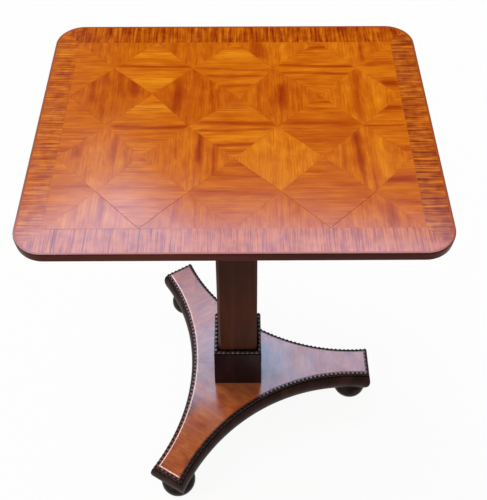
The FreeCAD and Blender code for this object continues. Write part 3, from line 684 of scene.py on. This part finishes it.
def lay_lozenge(column, row, crosswise):
    """One leaf of veneer as rows of faces along its grain, with its grain map and figure."""
    middle = Vector((column / 2 * lozenge, row / 2 * lozenge))
    tone, streaks = lozenge_figures[(column, row)]
    local = []
    for corner in lozenge_outline(column, row):
        offset = corner - middle
        local.append((offset.y, -offset.x) if crosswise else (offset.x, offset.y))
    lowest = min(across for _, across in local)
    highest = max(across for _, across in local)
    steps = strips_across_lozenge
    levels = {lowest + (highest - lowest) * step / steps for step in range(steps + 1)}
    levels = sorted(levels | {across for _, across in local})
    leaf = bmesh.new()
    grain = leaf.loops.layers.uv.new("grain")
    figure = leaf.verts.layers.float.new("figure")
    rows = []
    for across in levels:
        begin, end = chord(local, across)
        line = []
        for step in range(faces_along_strip + 1):
            along = begin + (end - begin) * step / faces_along_strip
            if crosswise:
                x, y = middle.x - across, middle.y + along
                streak_across = -across
            else:
                x, y = middle.x + along, middle.y + across
                streak_across = across
            vertex = leaf.verts.new((x + column_x, y, table_height))
            depth = streak_depth(
                streaks, along * millimetres_per_metre, streak_across * millimetres_per_metre
            )
            vertex[figure] = tone + depth
            line.append((vertex, along, across))
        rows.append(line)
    own = random.Random(column * 31 + row * 7)
    shift_along, shift_across = own.uniform(0, 5), own.uniform(0, 5)
    for lower, upper in zip(rows, rows[1:]):
        for step in range(faces_along_strip):
            quad = [lower[step], lower[step + 1], upper[step + 1], upper[step]]
            face = leaf.faces.new([vertex for vertex, _, _ in quad])
            for loop, (_, along, across) in zip(face.loops, quad):
                loop[grain].uv = (along + shift_along, across + shift_across)
    bmesh.ops.remove_doubles(leaf, verts=leaf.verts, dist=same_point)
    rim = [edge for edge in leaf.edges if len(edge.link_faces) == 1]
    walls = bmesh.ops.extrude_edge_only(leaf, edges=rim)["geom"]
    lower_rim = [item for item in walls if isinstance(item, bmesh.types.BMVert)]
    for vertex in lower_rim:
        vertex.co.z -= veneer
    open_rim = [edge for edge in leaf.edges if len(edge.link_faces) == 1]
    bmesh.ops.contextual_create(leaf, geom=open_rim)
    bmesh.ops.recalc_face_normals(leaf, faces=leaf.faces)
    return leaf


def make_parquetry():
    """The four groups of lozenges, each leaf its own closed slab."""
    groups = {
        "lozenges_long_grain": [], "half_lozenges_long_grain": [],
        "lozenges_cross_grain": [], "half_lozenges_cross_grain": [],
    }
    for column, row in lozenge_figures:
        crosswise = row % 2 == 1
        grain = "cross_grain" if crosswise else "long_grain"
        on_border = abs(row) == lozenge_rows or abs(column) == lozenge_columns
        kind = "half_lozenges_" if on_border else "lozenges_"
        groups[kind + grain].append((column, row, crosswise))
    finishes = {
        False: wood("golden_veneer_long", golden_wood, laid=True),
        True: wood("golden_veneer_cross", cross_veneer_wood, laid=True),
    }
    for name, leaves in groups.items():
        mesh = bpy.data.meshes.new("laid_" + name)
        joined = bmesh.new()
        for column, row, crosswise in leaves:
            leaf = lay_lozenge(column, row, crosswise)
            leaf.to_mesh(mesh)
            leaf.free()
            joined.from_mesh(mesh)
        joined.to_mesh(mesh)
        joined.free()
        mesh.materials.append(finishes["cross" in name])
        finished_piece("laid_" + name, mesh, name)


# Platform


def arm_corner(end_inset, side_inset):
    """The corner of the first arm's end, set in, seen from the column."""
    x = arm_length - end_inset
    radius = arc_radius + side_inset
    centre_x = arc_distance * math.cos(half_turn)
    centre_y = arc_distance * math.sin(half_turn)
    return Vector((x, centre_y - math.sqrt(radius ** 2 - (centre_x - x) ** 2)))


def hollow_arc(end_inset, side_inset, count):
    """Points along the hollow from the first arm's corner to the waist."""
    centre = Vector((math.cos(half_turn), math.sin(half_turn))) * arc_distance
    corner = arm_corner(end_inset, side_inset) - centre
    begin = math.atan2(corner.y, corner.x) % (2 * math.pi)
    end = half_turn + math.pi
    radius = arc_radius + side_inset
    points = []
    for step in range(count + 1):
        angle = begin + (end - begin) * step / count
        points.append(centre + Vector((math.cos(angle), math.sin(angle))) * radius)
    return points


def leaf_outline(end_inset, left_inset, right_inset, joint):
    """One arm's share of the platform's top, anticlockwise, with its joints drawn in."""
    left, right = (
        hollow_arc(end_inset, side_inset, leaf_arc_steps)
        for side_inset in (left_inset, right_inset)
    )
    off_joint = Vector((math.sin(half_turn), -math.cos(half_turn))) * joint
    left[-1] = left[-1] + off_joint
    right[-1] = right[-1] + off_joint
    bore = []
    for step in range(bore_steps + 1):
        angle = half_turn * (1 - 2 * step / bore_steps)
        bore.append(Vector((math.cos(angle), math.sin(angle))) * tenon_radius)
    right = [Vector((point.x, -point.y)) for point in reversed(right)]
    return right + left + bore


def on_platform(point, turn, height):
    """A point seen from the column, turned to another arm and set on the table's axes."""
    x = point[0] * math.cos(turn) - point[1] * math.sin(turn) + column_x
    y = point[0] * math.sin(turn) + point[1] * math.cos(turn)
    return Vector((x, y, height))


def make_platform_leaves():
    """The top veneer of the three arms, eased where it meets the beads: most on the left.

    A lower step of the veneer runs on between the beads. Each edge has its eased width and the
    share of the beads' width that the step leaves free: an arm's end, then its left and its
    right side, seen from the column.
    """
    thin = 0.0001
    wide = 0.0018
    drop = 0.00034
    joint = 0.00025
    ground_steps = 3
    edge_forms = {
        "right": ((thin, 0.55), (thin, 0.72), (thin, 0.36)),
        "back_left": ((thin, 0.72), (wide, 0.36), (thin, 0.72)),
        "front_left": ((wide, 0.40), (thin, 0.72), (wide, 0.36)),
    }
    grounds = ebonised(
        "ground_between_beads", (0.16, 0.052, 0.034), (0.24, 0.080, 0.052),
        sheen=0.55, smoothest=0.12,
    )
    for number, arm in enumerate(arm_names):
        turn = arm_turn * number
        under_beads = tuple(bead * free_share for _, free_share in edge_forms[arm])
        edge = (bead, bead, bead)
        inner = tuple(bead + ease for ease, _ in edge_forms[arm])
        levels = (
            (under_beads, platform_top - veneer), (under_beads, platform_top - bead_seat),
            (edge, platform_top - bead_seat), (edge, platform_top - drop), (inner, platform_top),
        )
        leaf = bmesh.new()
        rings = []
        for insets, height in levels:
            outline = leaf_outline(*insets, joint)
            rings.append([leaf.verts.new(on_platform(point, turn, height)) for point in outline])
        leaf.faces.new(list(reversed(rings[0])))
        leaf.faces.new(rings[-1])
        for level, (lower, upper) in enumerate(zip(rings, rings[1:])):
            for step in range(len(lower)):
                following = (step + 1) % len(lower)
                face = leaf.faces.new(
                    [lower[step], lower[following], upper[following], upper[step]]
                )
                face.material_index = 1 if level < ground_steps else 0
        mesh = close_up(leaf, "veneered_arm_" + arm)
        marks_and_shade = platform_marks_and_shade[arm]
        finish = wood(
            "platform_veneer_" + arm, platform_wood,
            turn=(0, 0, turn + math.pi / 2), centre=(column_x, 0, 0), marks_and_shade=marks_and_shade,
            mark_and_shade_colour=platform_mark_and_shade,
        )
        mesh.materials.append(finish)
        mesh.materials.append(grounds)
        finished_piece("veneered_arm_" + arm, mesh, "platform_leaf_" + arm)


# Bead mouldings


def bead_tree():
    """A string of carved beads on a round core, along a given path.

    The beads' unevenness has a fixed seed.
    """
    tree = bpy.data.node_groups.new("string_of_beads", "GeometryNodeTree")
    sockets = tree.interface
    sockets.new_socket("Path", in_out="INPUT", socket_type="NodeSocketGeometry")
    lengths = ("Bead Pitch", "Bead Length", "Bead Girth", "Core Radius", "Core Drop")
    for name in lengths + ("Unevenness",):
        sockets.new_socket(name, in_out="INPUT", socket_type="NodeSocketFloat")
    for name in ("Finish", "Hollow Finish"):
        sockets.new_socket(name, in_out="INPUT", socket_type="NodeSocketMaterial")
    sockets.new_socket("Moulding", in_out="OUTPUT", socket_type="NodeSocketGeometry")
    given = add(tree, "NodeGroupInput").outputs
    path = add(tree, "GeometryNodeMeshToCurve", {"Mesh": given["Path"]})
    places = add(
        tree, "GeometryNodeResampleCurve",
        {"Curve": path.outputs[0], "Length": given["Bead Pitch"]}, mode="LENGTH",
    )
    lathed = add(
        tree, "GeometryNodeMeshUVSphere",
        {"Segments": bead_segments, "Rings": bead_rings, "Radius": 0.5},
    )
    tangent = add(tree, "GeometryNodeInputTangent")
    aim = add(
        tree, "FunctionNodeAlignRotationToVector", {"Vector": tangent.outputs[0]},
        axis="X", pivot_axis="Z",
    )
    uneven = add(
        tree, "FunctionNodeRandomValue",
        {"Min": 0.0, "Max": 1.0, "Seed": 5}, data_type="FLOAT",
    )
    loss = add(
        tree, "ShaderNodeMath", {0: uneven.outputs[1], 1: given["Unevenness"]},
        operation="MULTIPLY",
    )
    kept = add(tree, "ShaderNodeMath", {0: 1.0, 1: loss.outputs[0]}, operation="SUBTRACT")
    girth = add(
        tree, "ShaderNodeMath", {0: given["Bead Girth"], 1: kept.outputs[0]},
        operation="MULTIPLY",
    )
    shape = add(
        tree, "ShaderNodeCombineXYZ",
        {"X": given["Bead Length"], "Y": girth.outputs[0], "Z": girth.outputs[0]},
    )
    beads = add(
        tree, "GeometryNodeInstanceOnPoints",
        {"Points": places.outputs[0], "Instance": lathed.outputs["Mesh"],
         "Rotation": aim.outputs[0], "Scale": shape.outputs[0]},
    )
    polished = add(
        tree, "GeometryNodeSetMaterial",
        {"Geometry": beads.outputs[0], "Material": given["Finish"]},
    )
    lowered = add(tree, "ShaderNodeMath", {0: given["Core Drop"], 1: -1.0}, operation="MULTIPLY")
    offset = add(tree, "ShaderNodeCombineXYZ", {"Z": lowered.outputs[0]})
    sunk = add(
        tree, "GeometryNodeSetPosition",
        {"Geometry": places.outputs[0], "Offset": offset.outputs[0]},
    )
    ring = add(
        tree, "GeometryNodeCurvePrimitiveCircle",
        {"Resolution": core_sides, "Radius": given["Core Radius"]},
    )
    core = add(
        tree, "GeometryNodeCurveToMesh",
        {"Curve": sunk.outputs[0], "Profile Curve": ring.outputs[0], "Fill Caps": True},
    )
    # The core takes the hollow finish, which on the plinth is a painted glint
    finished_core = add(
        tree, "GeometryNodeSetMaterial",
        {"Geometry": core.outputs[0], "Material": given["Hollow Finish"]},
    )
    both = add(tree, "GeometryNodeJoinGeometry")
    tree.links.new(polished.outputs[0], both.inputs[0])
    tree.links.new(finished_core.outputs[0], both.inputs[0])
    real = add(tree, "GeometryNodeRealizeInstances", {"Geometry": both.outputs[0]})
    rounded = add(tree, "GeometryNodeSetShadeSmooth", {"Geometry": real.outputs[0]})
    add(tree, "NodeGroupOutput", {"Moulding": rounded.outputs[0]})
    return tree


def grown(name, tree, path, values):
    """Runs a node tree on a path of points and returns its result as a plain mesh."""
    line = bpy.data.meshes.new(name + "_path")
    edges = [(step, step + 1) for step in range(len(path) - 1)]
    line.from_pydata([tuple(point) for point in path], edges, [])
    guide = bpy.data.objects.new(name + "_guide", line)
    scene.collection.objects.link(guide)
    modifier = guide.modifiers.new("grow", "NODES")
    modifier.node_group = tree
    for item in tree.interface.items_tree:
        if item.name in values:
            modifier[item.identifier] = values[item.name]
    depsgraph = bpy.context.evaluated_depsgraph_get()
    mesh = bpy.data.meshes.new_from_object(guide.evaluated_get(depsgraph), depsgraph=depsgraph)
    mesh.name = name
    guide.modifiers.remove(modifier)
    bpy.data.objects.remove(guide)
    bpy.data.meshes.remove(line)
    return mesh


def bead_values(girth, finish, hollow_finish):
    """What the string of beads is given for one moulding."""
    return {
        "Bead Pitch": bead_pitch, "Bead Length": bead_pitch * length_share,
        "Bead Girth": girth, "Core Radius": girth * core_share,
        "Core Drop": girth * core_drop_share, "Unevenness": bead_unevenness,
        "Finish": finish, "Hollow Finish": hollow_finish,
    }


def make_platform_beads(tree, finish, hollow_finish):
    """Beads round the platform: three hollow sides and three arm ends, meeting at mitres."""
    girth = bead * girth_share
    inset = bead / 2
    height = bead_bed + girth / 2 + bead_stand
    half_side = hollow_arc(inset, inset, bead_arc_steps)
    corner = arm_corner(inset, inset)
    waist_way = Vector((math.cos(half_turn), math.sin(half_turn)))
    mirror = []
    for point in reversed(half_side[:-1]):
        off = point - waist_way * point.dot(waist_way)
        mirror.append(point - 2 * off)
    side = half_side + mirror
    end = [Vector((corner.x, -corner.y)), Vector((corner.x, corner.y))]
    names = (("back", "right"), ("left", "back_left"), ("front", "front_left"))
    values = bead_values(girth, finish, hollow_finish)
    for number, (side_name, arm) in enumerate(names):
        turn = arm_turn * number
        for name, path in (("side_beading_" + side_name, side), ("end_beading_" + arm, end)):
            placed = [on_platform(point, turn, height) for point in path]
            mesh = grown("carved_" + name, tree, placed, values)
            finished_piece("carved_" + name, mesh, name)


def make_plinth_beads(tree, finish, hollow_finishes):
    """Beads round the top edge of the plinth, meeting at its corners."""
    girth = plinth_bead * girth_share
    reach = column_base_half + plinth_bead / 2
    height = plinth_top - girth / 2
    for number, side in enumerate(("right", "back", "left", "front")):
        turn = math.radians(90) * number
        values = bead_values(girth, finish, hollow_finishes[side])
        path = [on_platform(corner, turn, height) for corner in ((reach, -reach), (reach, reach))]
        name = "plinth_beading_" + side
        mesh = grown("carved_" + name, tree, path, values)
        finished_piece("carved_" + name, mesh, name)


# Finishes of the pieces that keep their CAD shape


def dress(node, finish):
    """Gives all of a CAD node's material slots one finish."""
    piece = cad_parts[node]
    if not piece.material_slots:
        piece.data.materials.append(finish)
    for slot in piece.material_slots:
        slot.material = finish


def dress_frame():
    """The finishes, each with its grain turned the way its piece is cut."""
    along_x = (0, 0, 0)
    along_y = (0, 0, math.pi / 2)
    upward = (0, -math.pi / 2, 0)
    column_place = (column_x, 0, 0)
    bands = {
        "front": (front_band_wood, along_y, front_band_cracks),
        "back": (back_band_wood, along_y, None),
        "left": (left_band_wood, along_x, None),
        "right": (right_band_wood, along_x, None),
    }
    for side, (recipe, turn, marks_and_shade) in bands.items():
        band = wood("crossband_" + side, recipe, turn=turn, centre=column_place, marks_and_shade=marks_and_shade)
        dress("crossband_" + side, band)
        lipping_turn = along_x if turn == along_y else along_y
        lipping = wood("lipping_" + side, edge_wood, turn=lipping_turn, top_coat_and_painted_highlight=True)
        dress("lipping_" + side, lipping)
    dress("top_board", wood("ground_board", ground_wood, turn=along_x))
    dress("head_block", wood("head_block", ground_wood, turn=along_x))
    for side in ("left", "right"):
        dress("bearer_" + side, wood("bearer_" + side, ground_wood, turn=along_y))
    steel = screw_steel("old_steel")
    dress("head_block_screws", steel)
    dress("bearer_screws", steel)
    # The column carries painted shade towards its head, under the top
    column_finish = wood(
        "column_mahogany", mahogany, turn=upward, centre=column_place, marks_and_shade=painted_shade_under_top
    )
    dress("column", column_finish)
    dress("tenon_wedge", wood("wedge_mahogany", mahogany, turn=upward))
    dress("plinth_block", wood("plinth_mahogany", plinth_wood, turn=upward, centre=column_place))
    dress("platform_core", wood("core_mahogany", side_wood, turn=along_x))
    for side in ("back", "left", "front"):
        dress("side_veneer_" + side, wood("side_veneer_" + side, side_wood, turn=upward))
    feet = ebonised("ebonised_feet", (0.009, 0.0062, 0.005), (0.030, 0.019, 0.013), sheen=0.09)
    for arm in arm_names:
        dress("end_veneer_" + arm, wood("end_veneer_" + arm, side_wood, turn=upward))
        dress("foot_" + arm, feet)


# Studio


def make_floor():
    """A pale floor that keeps the table's shadow and stays light to the eye."""
    round_floor = bmesh.new()
    bmesh.ops.create_circle(round_floor, cap_ends=True, segments=96, radius=9.0)
    mesh = bpy.data.meshes.new("floor")
    round_floor.to_mesh(mesh)
    round_floor.free()
    floor = bpy.data.objects.new("floor", mesh)
    scene.collection.objects.link(floor)
    material, tree, surface = new_finish("pale_floor")
    surface.inputs["Base Color"].default_value = (0.88, 0.88, 0.88, 1)
    surface.inputs["Roughness"].default_value = 0.9
    surface.inputs["Specular IOR Level"].default_value = 0.0
    paths = add(tree, "ShaderNodeLightPath").outputs
    seen = maths(tree, "ADD", paths["Is Camera Ray"], paths["Is Glossy Ray"], clamp=True)
    seen = maths(tree, "ADD", seen, paths["Is Transmission Ray"], clamp=True)
    white = add(tree, "ShaderNodeEmission", {"Color": (1, 1, 1, 1), "Strength": 1.0})
    blended = add(
        tree, "ShaderNodeMixShader",
        {0: product(tree, seen, 0.92), 1: surface.outputs[0], 2: white.outputs[0]},
    )
    output = tree.nodes["Material Output"]
    tree.links.new(blended.outputs[0], output.inputs["Surface"])
    mesh.materials.append(material)


def make_light():
    """A soft room of light round the table.

    It has warm walls with a dark part behind the table, a window at the left, a narrow slit
    high up, a blue sky overhead with a brighter patch, and a small lamp.
    """
    world = bpy.data.worlds.new("soft_studio")
    scene.world = world
    world.use_nodes = True
    tree = world.node_tree
    tree.nodes.clear()
    direction = add(tree, "ShaderNodeTexCoord").outputs["Generated"]
    parts = add(tree, "ShaderNodeSeparateXYZ", {0: direction}).outputs
    rightward, backward, upward = parts[0], parts[1], parts[2]
    leftward = product(tree, rightward, -1.0)

    toward_shade = toward(tree, direction, (0.105, 0.748, 0.656))
    shade = product(
        tree, remap(tree, toward_shade, 0.74, 0.955), remap(tree, upward, 0.12, 0.40)
    )
    warm = mixed(
        tree, remap(tree, upward, 0.16, 0.36), (0.90, 0.89, 0.87, 1), (0.56, 0.40, 0.25, 1)
    )
    room = mixed(tree, product(tree, shade, 0.97), warm, black)

    window = product(
        tree, remap(tree, leftward, 0.14, 0.72), remap(tree, upward, 0.10, 0.24),
        remap(tree, upward, 0.62, 0.80, 1.0, 0.0),
    )

    off_slit = maths(tree, "ABSOLUTE", toward(tree, direction, (0.8773, 0.4106, 0.2483)))
    along_slit = toward(tree, direction, (-0.3694, 0.2476, 0.8957))
    slit = product(
        tree, remap(tree, off_slit, 0.05, 0.10, 1.0, 0.0), remap(tree, along_slit, 0.90, 0.97)
    )

    at_left = maths(tree, "MAXIMUM", maths(tree, "SUBTRACT", leftward, 0.06), 0.0)
    at_left = maths(tree, "MINIMUM", at_left, 0.105)
    at_right = maths(tree, "MAXIMUM", maths(tree, "SUBTRACT", rightward, 0.10), 0.0)
    reach = maths(tree, "MULTIPLY_ADD", at_left, 0.37, upward)
    reach = maths(tree, "MULTIPLY_ADD", at_right, 0.09, reach)
    sky = ramp(tree, remap(tree, reach, 0.70, 0.95, smooth=False), [
        (0.0, (0, 0, 0)), (0.20, (0.004, 0.008, 0.013)), (0.29, (0.009, 0.020, 0.034)),
        (0.34, (0.033, 0.073, 0.125)), (0.37, (0.068, 0.16, 0.28)), (0.41, (0.125, 0.28, 0.49)),
        (0.45, (0.162, 0.355, 0.60)), (0.51, (0.167, 0.362, 0.612)),
    ])
    sideways = remap(tree, maths(tree, "ABSOLUTE", rightward), 0.28, 0.42, 1.0, 0.0)
    low_sky = product(tree, sideways, remap(tree, upward, 0.820, 0.834, 1.0, 0.0))
    sky = mixed(tree, low_sky, black, sky)

    overhead = product(
        tree, remap(tree, backward, 0.340, 0.420), remap(tree, upward, 0.836, 0.862),
        sideways, remap(tree, rightward, 0.05, 0.19, 1.0, 0.84),
        remap(tree, leftward, 0.02, 0.10, 1.0, 0.87),
    )

    toward_lamp = toward(tree, direction, (-0.190, 0.643, 0.742))
    lamp = remap(tree, toward_lamp, 0.9966, 0.9998)

    lights = [(room, 1.0), (sky, 6.0)]
    for share, colour, strength in (
        (window, (0.97, 1.0, 1.03, 1), 1.5), (slit, (0.95, 1.0, 1.04, 1), 8.0),
        (overhead, (0.36, 0.56, 0.83, 1), 6.8), (lamp, (1.0, 0.92, 0.86, 1), 0.7),
    ):
        lights.append((mixed(tree, share, black, colour), strength))
    total = None
    for colour, strength in lights:
        light = add(tree, "ShaderNodeBackground", {"Color": colour, "Strength": strength})
        if total is None:
            total = light
        else:
            total = add(
                tree, "ShaderNodeAddShader", {0: total.outputs[0], 1: light.outputs[0]}
            )
    add(tree, "ShaderNodeOutputWorld", {"Surface": total.outputs[0]})


def make_camera():
    """The photograph's viewpoint: a little left of the middle, looking steeply down."""
    lens = bpy.data.cameras.new("viewpoint")
    lens.sensor_width = 36.0
    lens.lens = 49.803
    viewpoint = bpy.data.objects.new("viewpoint", lens)
    scene.collection.objects.link(viewpoint)
    right = Vector((0.99998462, -0.00554014, 0.00025211))
    above = Vector((0.00438079, 0.81696592, 0.57666931))
    ahead = Vector((0.00340079, 0.57665934, -0.81697763))
    turned = Matrix((right, above, -ahead)).transposed().to_4x4()
    eye = Vector((-0.004104, -0.583095, 1.304211))
    viewpoint.matrix_world = Matrix.Translation(eye) @ turned
    scene.camera = viewpoint


make_camera()
make_light()
make_floor()
make_parquetry()
make_platform_leaves()
string_of_beads = bead_tree()
bead_finish = ebonised("ebonised_beads", (0.013, 0.0075, 0.0078), (0.034, 0.018, 0.015))
dark_hollows = ebonised("dark_hollows", black_polish, (0.030, 0.018, 0.016))
make_platform_beads(string_of_beads, bead_finish, dark_hollows)
# Painted glints between the plinth's beads, strongest on the left, where the light falls
faint_glints = painted_glint_hollow("faint_painted_glints", 0.40)
plinth_hollows = {
    "right": faint_glints, "back": faint_glints, "left": painted_glint_hollow("bright_painted_glints", 1.0),
    "front": painted_glint_hollow("dim_painted_glints", 0.32),
}
make_plinth_beads(string_of_beads, bead_finish, plinth_hollows)
dress_frame()

scene.view_settings.view_transform = "Standard"
